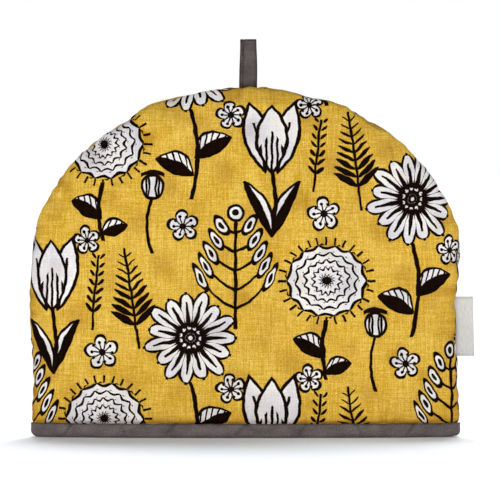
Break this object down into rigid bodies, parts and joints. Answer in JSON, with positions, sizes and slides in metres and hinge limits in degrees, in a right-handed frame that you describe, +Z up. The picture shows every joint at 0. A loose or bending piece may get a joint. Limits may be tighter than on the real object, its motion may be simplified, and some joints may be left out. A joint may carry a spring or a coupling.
{
  "type": "tea cosy",
  "caption": "Padded dome-shaped tea cosy of printed cotton, open at its bound hem, with a folded tape hanging loop on top and a folded side label.",
  "frame": {"origin": "on the surface the hem rests on, below the middle of the bounding box, which includes the side label", "axes": "+X along the seam plane towards the label, +Y through the thin direction from the front panel to the back panel, +Z up to the hanging loop"},
  "size_m": [0.353, 0.0962, 0.3161],
  "materials": {
    "printed_cotton": "printed cotton canvas, mustard yellow with a black and white flower print, plain natural cotton inside",
    "grey_tape": "charcoal grey cotton twill tape",
    "white_ribbon": "off-white woven satin ribbon"
  },
  "bodies": {
    "root": {"front_panel": "printed_cotton", "back_panel": "printed_cotton", "hem_binding": "grey_tape", "hanging_loop": "grey_tape", "side_label": "white_ribbon"}
  },
  "joints": []
}
